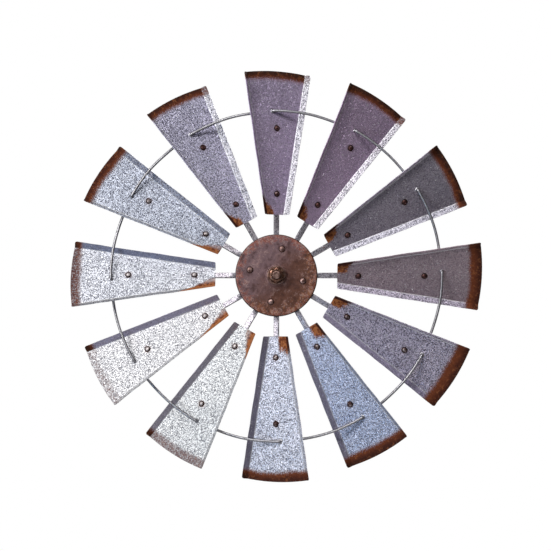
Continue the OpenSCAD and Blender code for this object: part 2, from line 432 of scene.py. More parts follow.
ZINC_LIGHT, ZINC_PALE, ZINC_DARK = (0.93, 0.93, 0.94), (0.86, 0.87, 0.89), (0.14, 0.14, 0.17)
# Painted shade for the sides of bars and rods, where they turn away from the wheel's axis
PAINTED_SIDE_SHADE = (0.07, 0.06, 0.07)
RUST_BLACK, RUST_DARK, RUST_BROWN = (0.045, 0.014, 0.007), (0.062, 0.012, 0.005), (0.165, 0.04, 0.013)
RUST_ORANGE, RUST_MAUVE = (0.43, 0.15, 0.05), (0.2, 0.095, 0.09)
OXIDE_DARK, OXIDE_LIGHT, OXIDE_WORN = (0.09, 0.032, 0.02), (0.27, 0.12, 0.075), (0.78, 0.54, 0.42)
HUB_PURPLE, HUB_BROWN, HUB_DARK = (0.255, 0.155, 0.165), (0.175, 0.072, 0.048), (0.085, 0.036, 0.03)
HUB_PALE, HUB_RED, HUB_OCHRE = (0.42, 0.26, 0.24), (0.36, 0.09, 0.048), (0.46, 0.27, 0.12)
HUB_CHIP, HUB_SCRATCH, HUB_RIM_SHADE = (0.62, 0.43, 0.39), (0.05, 0.028, 0.026), (0.06, 0.028, 0.022)


def spangle(n, softness, middle=0.66):
    """Galvanised speckle as a factor: small crystal cells broken up by finer grain."""
    cell, grain = n.part(n.cells(900.0), "X"), n.noise(950.0, 2.0, 0.7)
    return n.steps(n.scaled(cell, 0.42, n.times(grain, 0.95)), middle - softness, middle + softness)


def zinc(n, factor):
    """Zinc from dark at 0 to light at 1."""
    light = n.mix(n.steps(n.noise(14.0, 3.0, 0.55), 0.3, 0.7), ZINC_LIGHT, ZINC_PALE)
    return n.mix(factor, ZINC_DARK, light)


def sheet_zinc(n, speckle, inset, right_inset):
    """Speckled zinc tinted per blade, part patina and part painted light and shade, with painted highlights
    along the folds and pale flecks.
    """
    specks = n.scaled(n.math("SUBTRACT", 1.0, speckle), n.times(n.attribute("contrast"), -1.0), 1.0)
    # Each blade's tint is part patina, part painted light and shade
    clean = n.mix(1.0, zinc(n, specks), n.attribute("tone_and_light", "Color"), "MULTIPLY")
    # Pale lines along the two folds: painted highlights, partly rubbed zinc
    fold_highlights = (n.times(n.steps(n.math("ABSOLUTE", from_fold), width, 0.3), strength)
             for from_fold, width, strength in ((inset, 1.3, 0.8), (right_inset, 1.0, 0.5)))
    flecks = n.times(n.steps(n.noise(560.0, 2.0, 0.6), 0.62, 0.7), 0.85)
    return n.mix(n.most(*fold_highlights, flecks), clean, ZINC_LIGHT)


def tip_rust(n, radius, amount, grain):
    """Factor and colour of the rust at the tip: black scale at the edge, then brown, then specks; the blacker
    rust of high amounts is partly painted shade.
    """
    drift, fine = n.noise(26.0, 2.0, 0.5), n.noise(900.0, 2.0, 0.6)
    depth = n.moved(n.math("SUBTRACT", TIP_R, radius), drift, 9.0)
    ragged = n.moved(depth, fine, 14.0)
    past_band = n.math("SUBTRACT", ragged, n.attribute("band"))
    sparse = n.scaled(amount, 2.2, n.scaled(grain, 2.4, -2.3))
    scale = n.moved(depth, n.noise(110.0, 4.0, 0.6), 10.0)
    # Black scale where a blade's amount runs above 1, which the tables give mostly to blades turned from the
    # lamps: rust deepened by painted shade
    colour = n.painted(n.mix(n.steps(scale, 2.0, 13.0), RUST_DARK, RUST_BROWN),
                       (n.times(n.steps(scale, 7.0, 1.0), n.steps(amount, 1.0, 1.5)), RUST_BLACK),
                       (n.steps(amount, 0.95, 0.7), RUST_MAUVE),
                       (n.times(n.steps(n.noise(210.0, 4.0, 0.75), 0.52, 0.66), 0.4), RUST_ORANGE))
    return n.times(n.steps(past_band, 3.7, -3.7), n.steps(sparse, 0.0, 1.0)), colour


def root_rust(n, across, radius, inset, reach_up, grain):
    """Factor and colour of the rust at the root, from the counterclockwise corner to the spoke."""
    slope = n.attribute("root_slope")
    edge = n.math("SUBTRACT", reach_up, n.times(slope, inset))
    edge = n.math("SUBTRACT", edge, n.math("SUBTRACT", radius, ROOT_R))
    edge = n.moved(edge, n.noise(75.0, 3.0, 0.6), 12.0)
    edge = n.moved(edge, grain, 24.0)
    spoke_side = n.moved(across, grain, 8.0)
    streak = n.steps(reach_up, 29.5, 31.0)
    thinned = n.math("ADD", n.times(n.steps(inset, 1.0, 8.0), streak, -0.55), 1.0)
    panel = n.mix(n.steps(n.noise(230.0, 3.0, 0.6), 0.42, 0.58), RUST_BROWN, RUST_ORANGE)
    colour = n.mix(n.steps(inset, 0.5, -1.5), panel, n.mix(streak, RUST_DARK, RUST_ORANGE))
    return n.times(n.steps(edge, 0.0, 8.0), n.steps(spoke_side, -2.8, -6.5), thinned), colour


def rivet_marks(n, across, radius, grain):
    """Factors of the dark ring where each rivet's head meets the sheet, painted shade in black rust's colour,
    and of the faint stain round each rivet.
    """
    offsets = [n.math("SUBTRACT", radius, r) for r in (INNER_RIVET_R, OUTER_RIVET_R)]
    away = n.hypot(across, n.math("MINIMUM", *(n.math("ABSOLUTE", offset) for offset in offsets)))
    seat_shade = n.steps(away, HEAD_D / 2 + 0.9, HEAD_D / 2 + 0.3)
    return seat_shade, n.times(n.steps(away, HEAD_D / 2 + 4.5, HEAD_D / 2), n.steps(grain, 0.44, 0.62))


def blade_material():
    """Galvanised sheet, rusty at the tip, the root and in freckles along the counterclockwise flange."""
    n = Nodes("galvanised_rusty_sheet", IOR=1.35)
    place, wear_and_shade = n.attribute("place", "Vector"), n.attribute("wear_and_shade", "Vector")
    across, radius, inset = (n.part(place, axis) for axis in "XYZ")
    tip_amount, root_reach, right_inset = (n.part(wear_and_shade, axis) for axis in "XYZ")
    speckle, grain = spangle(n, 0.13, 0.645), n.noise(430.0, 3.0, 0.7)
    tip, tip_colour = tip_rust(n, radius, tip_amount, grain)
    root, root_colour = root_rust(n, across, radius, inset, root_reach, grain)
    seat_shade, stain = rivet_marks(n, across, radius, grain)
    freckles = n.times(n.steps(inset, 1.5, 0.0), n.steps(grain, 0.6, 0.68))
    rusty = n.most(tip, root, freckles)
    dull = n.times(n.steps(inset, -0.3, -1.3), 0.85)
    clean = sheet_zinc(n, speckle, inset, right_inset)
    # The black ring at each rivet's head is painted shade
    n.set(Base_Color=n.painted(clean, (freckles, RUST_BROWN), (n.times(stain, 0.5), RUST_BROWN),
                               (seat_shade, RUST_BLACK), (root, root_colour), (tip, tip_colour)),
          Metallic=n.times(n.math("SUBTRACT", 1.0, n.most(rusty, dull)), 0.8),
          Roughness=n.scaled(rusty, 0.33, n.scaled(speckle, -0.06, 0.56)))
    relief = n.scaled(rusty, n.times(n.noise(700.0, 3.0, 0.7), 3.0), speckle)
    n.bump(relief, 0.00006, n.facets(1000.0, 0.25, 0.6))
    return n.material


def bar_material(name, softness, tint, metallic, roughness, side_shade):
    """Galvanised bar, rod or plate: speckled zinc, with painted shade down the sides where the surface turns
    away from the wheel's axis, and a few rust specks.
    """
    n = Nodes(name, IOR=1.5)
    speckle = spangle(n, softness)
    # How far the surface turns away from the wheel's axis: painted shade down the sides
    sides = n.steps(n.math("ABSOLUTE", n.part(n.normal, "Y")), 0.9, 0.7)
    specks = n.steps(n.noise(190.0, 3.0, 0.7), 0.66, 0.72)
    clean = n.mix(1.0, zinc(n, speckle), tint, "MULTIPLY")
    n.set(Base_Color=n.painted(clean, (n.times(sides, side_shade), PAINTED_SIDE_SHADE), (specks, RUST_BROWN)),
          Metallic=n.times(n.math("SUBTRACT", 1.0, specks), metallic),
          Roughness=n.scaled(specks, 0.4, roughness))
    n.bump(speckle, 0.00005)
    return n.material


def rusty_steel_material():
    """The nut and the front washer: dark brown oxide, worn paler on the high spots."""
    n = Nodes("rusty_steel", IOR=1.5)
    coarse, fine = n.noise(240.0, 4.0, 0.65), n.noise(1100.0, 2.0, 0.6)
    body = n.mix(n.steps(coarse, 0.38, 0.62), OXIDE_DARK, OXIDE_LIGHT)
    n.set(Base_Color=n.mix(n.times(n.steps(fine, 0.48, 0.68), 0.45), body, OXIDE_WORN), Metallic=0.8,
          Roughness=n.scaled(fine, 0.2, 0.24))
    n.bump(n.scaled(fine, 0.4, coarse), 0.00015)
    return n.material


def rivet_material(name, edge, dark, light, bright):
    """Rivets: mottled scale, with painted shade round the head's edge, and a bright crown that is partly
    rubbed metal and partly a painted highlight.
    """
    n = Nodes(name, IOR=1.5)
    ring, wear_and_glint = n.attribute("ring"), n.attribute("wear_and_glint")
    coarse, fine = n.noise(260.0, 4.0, 0.65), n.noise(1100.0, 2.0, 0.6)
    # The bright crown is partly painted highlight, and the dark band at the head's edge is painted shade
    crown = n.times(n.steps(ring, 0.9, 0.5), n.steps(n.scaled(wear_and_glint, 0.8, coarse), 0.55, 0.85))
    n.set(Base_Color=n.painted(n.mix(n.steps(coarse, 0.38, 0.62), dark, light), (crown, bright),
                               (n.steps(ring, 0.74, 0.92), edge)),
          Metallic=0.75, Roughness=n.scaled(fine, 0.25, 0.34))
    n.bump(n.scaled(fine, 0.4, coarse), 0.00012)
    return n.material


def hub_material():
    """Purple-grey patina, browner to one side and redder to the rim, with patches, chips and scratches, and
    painted shade round the rim's edge.
    """
    n = Nodes("weathered_hub_steel", IOR=1.5)
    x, z = n.part(n.place, "X"), n.part(n.place, "Z")
    radius = n.hypot(x, z)
    cloud, mottle = n.noise(30.0, 4.0, 0.6), n.noise(95.0, 5.0, 0.65)
    streak, fine = n.noise(260.0, 4.0, 0.7), n.noise(560.0, 3.0, 0.7)
    aside = n.scaled(n.math("SUBTRACT", x, z), 8.0, cloud)
    rim = n.steps(n.moved(radius, mottle, 0.045), 0.038, 0.06)
    pale = n.times(n.steps(mottle, 0.52, 0.64), n.steps(streak, 0.36, 0.58), 0.55)
    red = n.times(n.steps(n.scaled(rim, 0.2, streak), 0.58, 0.74), n.scaled(rim, 0.55, 0.2))
    dark = n.times(n.steps(mottle, 0.48, 0.34), 0.6)
    ochre = n.times(rim, n.steps(aside, 0.4, 0.85), n.steps(streak, 0.5, 0.62), 0.5)
    chips = n.times(n.steps(n.scaled(rim, 0.12, n.scaled(mottle, 0.4, fine)), 0.82, 0.9), 0.48)
    scratches = n.times(n.steps(streak, 0.4, 0.32), 0.5)
    # A dark line round the rim's edge: painted shade
    edge = n.steps(radius, (HUB_DISC_R - 2.0) * MM, (HUB_DISC_R - 0.8) * MM)
    patina = n.mix(n.steps(aside, 0.2, 0.8), HUB_PURPLE, HUB_BROWN)
    n.set(Base_Color=n.painted(patina, (pale, HUB_PALE), (red, HUB_RED), (dark, HUB_DARK), (ochre, HUB_OCHRE),
                               (chips, HUB_CHIP), (scratches, HUB_SCRATCH), (edge, HUB_RIM_SHADE)),
          Metallic=0.4, Roughness=n.scaled(mottle, 0.3, 0.3))
    n.bump(n.scaled(fine, 0.6, mottle), 0.00045)
    return n.material


def turned_material(name, dark, light, metallic):
    """Turned metal: fine rings along the axis, and stains."""
    n = Nodes(name, IOR=1.5)
    stretched = n.add("Mapping", {"Vector": n.place, "Scale": (60.0, 1400.0, 60.0)}).outputs[0]
    rings, stains = n.noise(1.0, 2.0, 0.5, stretched), n.noise(160.0, 4.0, 0.65)
    n.set(Base_Color=n.mix(n.steps(stains, 0.38, 0.64), dark, light), Metallic=metallic,
          Roughness=n.scaled(stains, 0.35, 0.22))
    n.bump(rings, 0.00005)
    return n.material


SHEET = blade_material()
BAR = bar_material("galvanised_bar", 0.25, (0.95, 0.88, 0.93), 0.8, 0.44, side_shade=0.85)
PLATE_ZINC = bar_material("galvanised_plate", 0.3, (0.95, 0.93, 0.95), 0.75, 0.46, side_shade=0.0)
ROD = bar_material("zinc_rod", 1.3, (1.06, 1.03, 1.04), 0.7, 0.36, side_shade=0.92)
ZINC_WASHER = bar_material("zinc_washer", 0.5, (1.0, 0.99, 1.0), 0.8, 0.32, side_shade=0.0)
RUSTY = rusty_steel_material()
RIVET = rivet_material("rivet_steel", edge=(0.012, 0.008, 0.008), dark=(0.05, 0.02, 0.018),
                       light=(0.15, 0.062, 0.052), bright=(0.62, 0.56, 0.55))
HUB_RIVET = rivet_material("hub_rivet_steel", edge=(0.04, 0.018, 0.015), dark=(0.15, 0.07, 0.058),
                           light=(0.34, 0.19, 0.165), bright=(0.62, 0.43, 0.39))
HUB = hub_material()
TURNED = turned_material("dark_turned_steel", (0.16, 0.08, 0.06), (0.52, 0.33, 0.28), 0.5)
BRONZE = turned_material("bush_bronze", (0.3, 0.17, 0.07), (0.55, 0.36, 0.17), 0.9)


# ---------- blades ----------

def flange_section():
    """Cross-section of a flange from the panel out, as (outward, forward, distance from the free edge)."""
    tangent = BEND_R * math.tan(FLANGE_BEND / 2)
    section = [(-tangent + BEND_R * math.sin(a), BEND_R * (1 - math.cos(a)), FAR)
               for a in np.linspace(0, FLANGE_BEND, 7)]
    spacing = 1.2
    by_the_edge = (4.5, 3.2, 2.2, 1.4, 0.8, 0.35, 0.1, 0.0)
    flat = np.arange(FLANGE_W - tangent - spacing, by_the_edge[0] + spacing / 2, -spacing)
    for d in [*flat, *by_the_edge]:
        out = FLANGE_W - d
        section.append((out * math.cos(FLANGE_BEND), out * math.sin(FLANGE_BEND), d))
    return section


def corner(distance, radius):
    """How far a rounded corner pulls a strip back at this distance from the free edge."""
    inside = np.clip(radius - distance, 0, radius)
    return radius - np.sqrt(radius ** 2 - inside ** 2)


def blade_stations():
    """Lines from a blade's root to its tip, as (start, direction, distance from the free edge)."""
    stations = []
    for side, root, tip in ((-1, ROOT_LEFT, TIP_LEFT), (1, ROOT_RIGHT, TIP_RIGHT)):
        lean = math.atan((tip - root) / (WHEEL_R - ROOT_R))
        along = np.array([side * math.sin(lean), math.cos(lean), 0])
        found = []
        for out, forward, distance in flange_section():
            start = np.array([side * (root + out * math.cos(lean)), ROOT_R - out * math.sin(lean),
                              SHEET_Z + forward])
            found.append((start + along * (ROOT_R - start[1]) / along[1], along, distance))
        stations.append(found[::side])
    left, right = stations[0][-1], stations[1][0]
    between = []
    for t in np.linspace(0, 1, 25)[1:-1]:
        along = left[1] * (1 - t) + right[1] * t
        between.append((left[0] * (1 - t) + right[0] * t, along / np.linalg.norm(along), FAR))
    return stations[0] + between + stations[1]


STATIONS = blade_stations()
# Places along each line, closer together at the rounded corners
ALONG = np.concatenate([[0, 0.0008, 0.002, 0.005, 0.01], np.linspace(0.02, 0.98, 60),
                        [0.986, 0.991, 0.995, 0.998, 0.9993, 1]])


def blade_surface(index):
    """One blade's middle surface in its own frame, as an array of stations by points."""
    start, along, edge = (np.array(column) for column in zip(*STATIONS))
    b = (start[:, :2] * along[:, :2]).sum(1) / (along[:, :2] ** 2).sum(1)
    c = ((start[:, :2] ** 2).sum(1) - TIP_R ** 2) / (along[:, :2] ** 2).sum(1)
    length = -b + np.sqrt(b * b - c)
    low, high = corner(edge, ROOT_CORNER_R), length - corner(edge, TIP_CORNER_R)
    distance = low[:, None] + (high - low)[:, None] * ALONG
    points = start[:, None] + along[:, None] * distance[..., None]
    x, y = points[..., 0], points[..., 1]
    free = smooth((np.abs(x) - 8) / 26)  # the spoke holds the middle of the panel flat
    dents, ripples = Waves(DENT_SEED + index, 35, 160), Waves(RIPPLE_SEED + index, 14, 40)
    points[..., 2] += (dents(x, y) * 0.55 + ripples(x, y) * 0.1) * free
    points[..., 0] += Waves(EDGE_SEED + index, 18, 70)(x * 0, y) * 0.16 * free
    return points


def blade_mesh(index):
    """The blade as closed sheet with rounded edges."""
    middle = blade_surface(index)
    rows, columns = middle.shape[:2]
    normal = np.cross(np.gradient(middle, axis=0), np.gradient(middle, axis=1))
    normal /= np.linalg.norm(normal, axis=-1, keepdims=True)
    if normal[rows // 2, columns // 2, 2] < 0:
        normal = -normal
    front, back = middle + normal * SHEET_T / 2, middle - normal * SHEET_T / 2
    rim = [(i, 0) for i in range(rows)]
    rim += [(rows - 1, j) for j in range(1, columns)]
    rim += [(i, columns - 1) for i in range(rows - 2, -1, -1)]
    rim += [(0, j) for j in range(columns - 2, 0, -1)]
    bulge = []
    for i, j in rim:
        step = middle[i, j] - middle[min(max(i, 1), rows - 2), min(max(j, 1), columns - 2)]
        bulge.append(middle[i, j] + step / max(np.linalg.norm(step), 1e-6) * SHEET_T * 0.3)
    count = rows * columns
    faces = grid_faces(rows, columns) + [f[::-1] for f in grid_faces(rows, columns, count)]
    for k, (i, j) in enumerate(rim):
        i2, j2 = rim[(k + 1) % len(rim)]
        a, b = i * columns + j, i2 * columns + j2
        m, m2 = 2 * count + k, 2 * count + (k + 1) % len(rim)
        faces += [(a, b, m2, m), (m, m2, b + count, a + count)]
    return np.concatenate([front.reshape(-1, 3), back.reshape(-1, 3), np.array(bulge)]), faces


def fold_line(root, tip, y):
    """Distance of a flange's fold from the blade's centre line."""
    return root + (tip - root) * (y - ROOT_R) / (WHEEL_R - ROOT_R)


def rod_leg_top(index):
    """Where a rod's leg meets its blade, in the wheel frame."""
    up = math.sqrt(RING_R ** 2 - ROD_LEG_OFFSET ** 2)
    return turned([-ROD_LEG_OFFSET, up, MIDDLE + ROD_SEAT], index * STEP)


# Wear of each blade, clockwise from the top. At the tip: the depth of the rust, and how rusty the panel and
# the clockwise flange are, amounts that also hold painted shade: higher, with blacker rust, on the blades and
# flanges turned away from the lamps. At the root: how far rust climbs the counterclockwise fold, and how much
# less for each millimetre across from there
TIP_BAND = (12.0, 13.5, 14.5, 18.0, 20.0, 15.0, 14.0, 12.0, 12.0, 12.0, 13.0, 13.0)
TIP_RUST_AND_SHADE = (1.5, 1.5, 1.5, 1.15, 1.2, 1.25, 1.15, 0.76, 0.64, 0.85, 1.1, 1.3)
FLANGE_TIP_RUST_AND_SHADE = (0.65, 0.85, 1.2, 1.1, 1.3, 1.4, 1.5, 1.5, 1.5, 1.5, 1.5, 0.82)
ROOT_REACH = (26.0, 27.0, 26.0, 26.0, 28.0, 29.0, 29.0, 34.0, 40.0, 40.0, 33.0, 27.0)
ROOT_SLOPE = (1.6, 1.0, 0.9, 0.9, 0.7, 0.5, 0.4, 2.1, 2.9, 2.9, 2.0, 1.3)

# Patina and painted light of each blade: tint and speckle of the panel and of the clockwise flange, and how
# bright the counterclockwise flange is against the panel. Part patina, part painted light and shade: brighter
# and more speckled on the blades and flanges that face the lamps, darker and smoother on those turned away
PANEL_TONE_AND_LIGHT = ((0.74, 0.6, 0.82), (0.74, 0.55, 0.75), (0.52, 0.46, 0.54), (0.57, 0.44, 0.48),
              (0.82, 0.73, 0.87), (0.86, 0.92, 1.15), (0.9, 0.92, 1.03), (0.79, 0.8, 0.8),
              (0.85, 0.84, 0.84), (0.83, 0.84, 0.89), (0.81, 0.85, 0.96), (0.88, 0.84, 1.03))
PANEL_CONTRAST = (0.5, 0.4, 0.55, 0.5, 1, 0.96, 1, 0.88, 0.87, 0.93, 0.97, 0.95)
FLANGE_TONE_AND_LIGHT = ((0.72, 0.7, 0.73), (0.8, 0.77, 0.8), (0.82, 0.79, 0.87), (0.9, 0.81, 0.96),
               (0.58, 0.52, 0.7), (0.56, 0.52, 0.66), (0.46, 0.42, 0.53), (0.6, 0.55, 0.64),
               (0.58, 0.53, 0.68), (0.39, 0.4, 0.53), (0.5, 0.5, 0.58), (0.77, 0.75, 0.78))
FLANGE_CONTRAST = (1, 1, 1, 1, 0.5, 0.3, 0.3, 0.3, 0.3, 0.3, 0.8, 1)
EDGE_SHADE = (1.1, 1.15, 1.7, 1.25, 1.05, 0.6, 0.95, 1.0, 1.0, 0.65, 0.95, 1.15)


def give_wear_and_shade(mesh, index):
    """What the sheet's material reads: where each point is on its blade, its rust there, and its blade's tint
    and speckle, which hold painted light and shade.
    """
    row = np.array([v.co for v in mesh.vertices]) / MM
    wheel = np.stack([row[:, 0], row[:, 2], -row[:, 1] - MIDDLE], -1)
    own = tilted(turned(wheel, -index * STEP), -PITCH)
    x, y = own[:, 0], own[:, 1]
    inset, right_inset = x + fold_line(ROOT_LEFT, TIP_LEFT, y), fold_line(ROOT_RIGHT, TIP_RIGHT, y) - x
    flange = right_inset < 0
    all_over = np.ones(len(x))
    # These tip amounts also hold painted shade for the blades and flanges turned from the lamps
    tip = np.where(flange, FLANGE_TIP_RUST_AND_SHADE[index], TIP_RUST_AND_SHADE[index])
    # Lit and shaded tints per blade: painted light and shade as well as patina
    tone_and_light = np.where(flange[:, None], FLANGE_TONE_AND_LIGHT[index], PANEL_TONE_AND_LIGHT[index])
    attach(mesh, "contrast", np.where(flange, FLANGE_CONTRAST[index], PANEL_CONTRAST[index]))
    attach(mesh, "band", all_over * TIP_BAND[index])
    attach(mesh, "root_slope", all_over * ROOT_SLOPE[index])
    attach(mesh, "place", np.stack([x, np.hypot(x, y), inset], -1))
    attach(mesh, "wear_and_shade", np.stack([tip, all_over * ROOT_REACH[index], right_inset], -1))
    attach(mesh, "tone_and_light", tone_and_light * np.where(inset < 0, EDGE_SHADE[index], 1)[:, None])


def blade(index):
    name = f"blade_{index + 1:02d}"
    points, faces = blade_mesh(index)
    points = blade_to_wheel(points, index)
    points[:, 2] = np.minimum(points[:, 2], -CAD_BOX[0].y / MM)  # no dent leaves the CAD model's box
    obj = make(f"{name}_sheet", points, faces, SHEET, "wheel", [name], 40)
    drill(obj, rod_leg_top(index), ROD_HOLE_R)
    give_wear_and_shade(obj.data, index)


# ---------- spokes ----------

SPOKE_FROM, SPOKE_TO, SPOKE_END_R = 22.0, 254.0, 3.0
TWIST_FROM, TWIST_TO = 61.5, 72.0


def bar_section(width, thickness, radius=0.5):
    """Rounded rectangle."""
    x, y = width / 2 - radius, thickness / 2 - radius
    return [(sx * x + radius * math.cos(a), sy * y + radius * math.sin(a))
            for sx, sy, first in ((1, 1, 0), (-1, 1, 90), (-1, -1, 180), (1, -1, 270))
            for a in (math.radians(first + q) for q in (0, 30, 60, 90))]


def spoke(index):
    """Flat bar with a sheared inner end, a twist just outside the hub, and a rounded outer end."""
    node = f"spoke_{index + 1:02d}"
    radii = [SPOKE_FROM, *np.linspace(SPOKE_FROM + 4, TWIST_FROM, 4),
             *np.linspace(TWIST_FROM, TWIST_TO, 12)[1:], *np.linspace(TWIST_TO, SPOKE_TO - 4, 34)[1:],
             *(SPOKE_TO - d for d in (3, 2, 1, 0.4, 0))]
    sway = Waves(SPOKE_SEED + index, 60, 200)
    path = []
    for r in radii:
        turn = PITCH * smooth((r - TWIST_FROM) / (TWIST_TO - TWIST_FROM))
        free = smooth((r - 66) / 10) * smooth((110 - r) / 15)  # between the hub and the inner rivet
        narrowed = max(1.0 - corner(SPOKE_TO - r, SPOKE_END_R) / (SPOKE_W / 2), 0.2)
        side = np.array([math.cos(turn), 0, -math.sin(turn)])
        up = np.array([math.sin(turn), 0, math.cos(turn)])
        path.append(([sway(r, 0) * 0.15 * free, r, 0], side * narrowed, up))
    points, faces = sweep(path, bar_section(SPOKE_W, SPOKE_T))
    points = turned(points, index * STEP) + [0, 0, MIDDLE]
    make(f"{node}_bar", points, faces, BAR, "wheel", [node], 30)


# ---------- ring rods ----------

def rod_path(index):
    """Centre line of a ring rod in the wheel frame: far end, arc, bend and leg."""
    first = -math.asin(ROD_LEG_OFFSET / RING_R)
    last = STEP + math.asin(ROD_TAIL / RING_R)
    span = last - first
    tilt = math.asin((ROD_FRONT + ROD_BACK) / 2 / (RING_R * math.sin(span / 2)))
    quarter = math.pi / 2
    stop = quarter + span / 2 - ROD_BEND_R / RING_R
    angles = np.linspace(quarter - span / 2, stop, 64)
    bow = Waves(ROD_SEED + index, 0.25, 0.6)
    free = np.sin((angles - angles[0]) / (angles[-1] - angles[0]) * math.pi)
    radius = RING_R + bow(angles, angles * 0) * 0.35 * free
    points = [np.array([r * math.cos(a), r * math.sin(a), 0]) for r, a in zip(radius, angles)]
    ahead = np.array([-math.sin(stop), math.cos(stop), 0])
    centre = points[-1] - [0, 0, ROD_BEND_R]
    for a in np.linspace(0, quarter, 9)[1:]:
        points.append(centre + ahead * ROD_BEND_R * math.sin(a) + np.array([0, 0, ROD_BEND_R * math.cos(a)]))
    points += [points[-1] - [0, 0, d] for d in np.linspace(0, ROD_LEG - ROD_BEND_R, 5)[1:]]
    points = tilted(np.array(points), tilt)
    points = turned(points, index * STEP + (first + last) / 2)
    return points + [0, 0, MIDDLE + (ROD_FRONT - ROD_BACK) / 2]


def tube(points, radius, sides=14):
    """A round bar along points, with domed ends."""
    direction = np.gradient(points, axis=0)
    direction /= np.linalg.norm(direction, axis=1, keepdims=True)
    side = np.cross(direction[0], [0, 0, 1.0])
    path = []
    for p, d in zip(points, direction):
        side = side - d * side.dot(d)
        side /= np.linalg.norm(side)
        path.append((p, side.copy(), np.cross(d, side)))
    for end, sign in ((0, -1), (-1, 1)):
        p, s, u = path[end]
        outwards = direction[end] * sign
        dome = [(p + outwards * radius * 0.6 * math.sin(a), s * math.cos(a), u * math.cos(a))
                for a in np.radians([25, 50, 72])]
        path = dome[::-1] + path if end == 0 else path + dome
    section = [(radius * math.cos(a), radius * math.sin(a)) for a in np.arange(sides) * 2 * math.pi / sides]
    return sweep(path, section)


def weld_bead(centre, size, seed):
    """An uneven lump of weld metal."""
    rng = np.random.default_rng(seed)
    bumps = Waves(seed, 1.2, 3.0)
    polar = np.linspace(0.25, math.pi - 0.25, 9)
    points, faces = lathe([(0, -1), *((math.sin(a), -math.cos(a)) for a in polar), (0, 1)], 18)
    points = points * (1 + 0.16 * bumps(points[:, 0] * 2 + points[:, 2], points[:, 1] * 2))[:, None]
    return points * size * rng.uniform(0.9, 1.1) + centre, faces


def ring_rod(index):
    """A rod with a lump of weld near its far end and one where its leg goes into the blade."""
    node = f"ring_rod_{index + 1:02d}"
    path = rod_path(index)
    points, faces = joined([
        tube(path, ROD_R),
        weld_bead(path[2] + [0, 0, 1.0], np.array([3.0, 3.0, 2.0]), ARC_WELD_SEED + index),
        weld_bead(rod_leg_top(index) + [0, 0, 1.2], np.array([3.3, 3.3, 1.5]), LEG_WELD_SEED + index)])
    make(f"{node}_bar", points, faces, ROD, "wheel", [node], 40)


# ---------- rivets ----------

def rivet(head_d, head_h, shank_d, grip, tail_d, seed):
    """A set rivet on z = 0: low domed head with a hammered crown, shank and upset tail."""
    rng = np.random.default_rng(seed)
    cap_r = (head_d ** 2 / 4 + head_h ** 2) / (2 * head_h)
    half = math.asin(head_d / 2 / cap_r)
    profile = [(0, head_h)] + [(cap_r * math.sin(a), cap_r * math.cos(a) - cap_r + head_h)
                               for a in np.linspace(half * 0.1, half * 0.97, 12)]
    profile += [(head_d / 2, 0.12), (head_d / 2 - 0.05, 0.0), (shank_d / 2, 0.0), (shank_d / 2, -grip)]
    tail_r, end = tail_d / 2, -grip - TAIL_H
    profile += [(tail_r - 0.3, -grip), (tail_r, -grip - 0.3), (tail_r - 0.1, -grip - TAIL_H * 0.6),
                (tail_r - 0.8, end), (0, end)]
    dents = Waves(seed, head_d * 0.35, head_d * 0.9)

    def uneven(r, a, z):
        crown = dents(r * np.cos(a), r * np.sin(a)) * 0.09 * (z > 0.3)
        return r * (1 + 0.012 * dents(np.cos(a) * 3, np.sin(a) * 3)), z + crown

    points, faces = lathe(profile, 28, shape=uneven)
    spin = rng.uniform(0, 2 * math.pi)
    c, s = math.cos(spin), math.sin(spin)
    return points @ np.array([[c, s, 0], [-s, c, 0], [0, 0, 1]]), faces


def rivet_set(node, placed, material, head_d, wear_and_glint):
    """One piece from several rivets, each given as (own points, placed points, faces)."""
    points, faces = joined([(where, f) for own, where, f in placed])
    obj = make(f"{node}_set", points, faces, material, "wheel", [node], 50)
    out = np.concatenate([np.hypot(own[:, 0], own[:, 1]) for own, where, f in placed])
    attach(obj.data, "ring", out / (head_d / 2))  # 1 at the head's edge
    crown_wear_and_glint = np.concatenate([np.full(len(own), amount) for (own, where, f), amount in zip(placed, wear_and_glint)])
    attach(obj.data, "wear_and_glint", crown_wear_and_glint)


# How bright each blade's rivet crowns are: partly rubbed metal, partly painted highlight, strongest on the
# blades that face the lamps
RIVET_WEAR_AND_GLINT = (0.1, 0, 0, 0, 0.2, 0.2, 0.2, 0.9, 1, 0.5, 0.3, 0)
HUB_RIVET_WEAR_AND_GLINT = 0.2


def blade_rivets(node, radius, seed):
    placed = []
    for index in range(BLADE_COUNT):
        points, faces = rivet(HEAD_D, HEAD_H, SHANK_D, SPOKE_T + SHEET_T, TAIL_D, seed + index)
        placed.append((points, blade_to_wheel(points + [0, radius, SPOKE_T / 2 + SHEET_T], index), faces))
    rivet_set(node, placed, RIVET, HEAD_D, RIVET_WEAR_AND_GLINT)


def hub_rivets():
    placed = []
    grip = FRONT_DISC[1] - REAR_DISC[0]
    for i in range(HUB_RIVET_COUNT):
        points, faces = rivet(HUB_HEAD_D, HUB_HEAD_H, HUB_SHANK_D, grip, HUB_TAIL_D, HUB_RIVET_SEED + i)
        angle = HUB_RIVET_PHASE + i * 2 * math.pi / HUB_RIVET_COUNT
        placed.append((points, turned(points + [0, HUB_RIVET_R, FRONT_DISC[1]], angle), faces))
    rivet_set("hub_rivets", placed, HUB_RIVET, HUB_HEAD_D, [HUB_RIVET_WEAR_AND_GLINT] * HUB_RIVET_COUNT)


# ---------- hub, axle and wall plate ----------

def ring_piece(node, corners, material, body, radius, segments=96, longest=3.0, shape=None):
    """A turned ring from a closed profile with rounded corners."""
    profile = subdivided(rounded_profile(corners, radius), longest)
    points, faces = lathe(profile, segments, closed=True, shape=shape)
    make(f"{node}_turned", points, faces, material, body, [node], 40)


def washer_corners(inner, outer, depth):
    return [(inner, depth[0]), (outer, depth[0]), (outer, depth[1]), (inner, depth[1])]


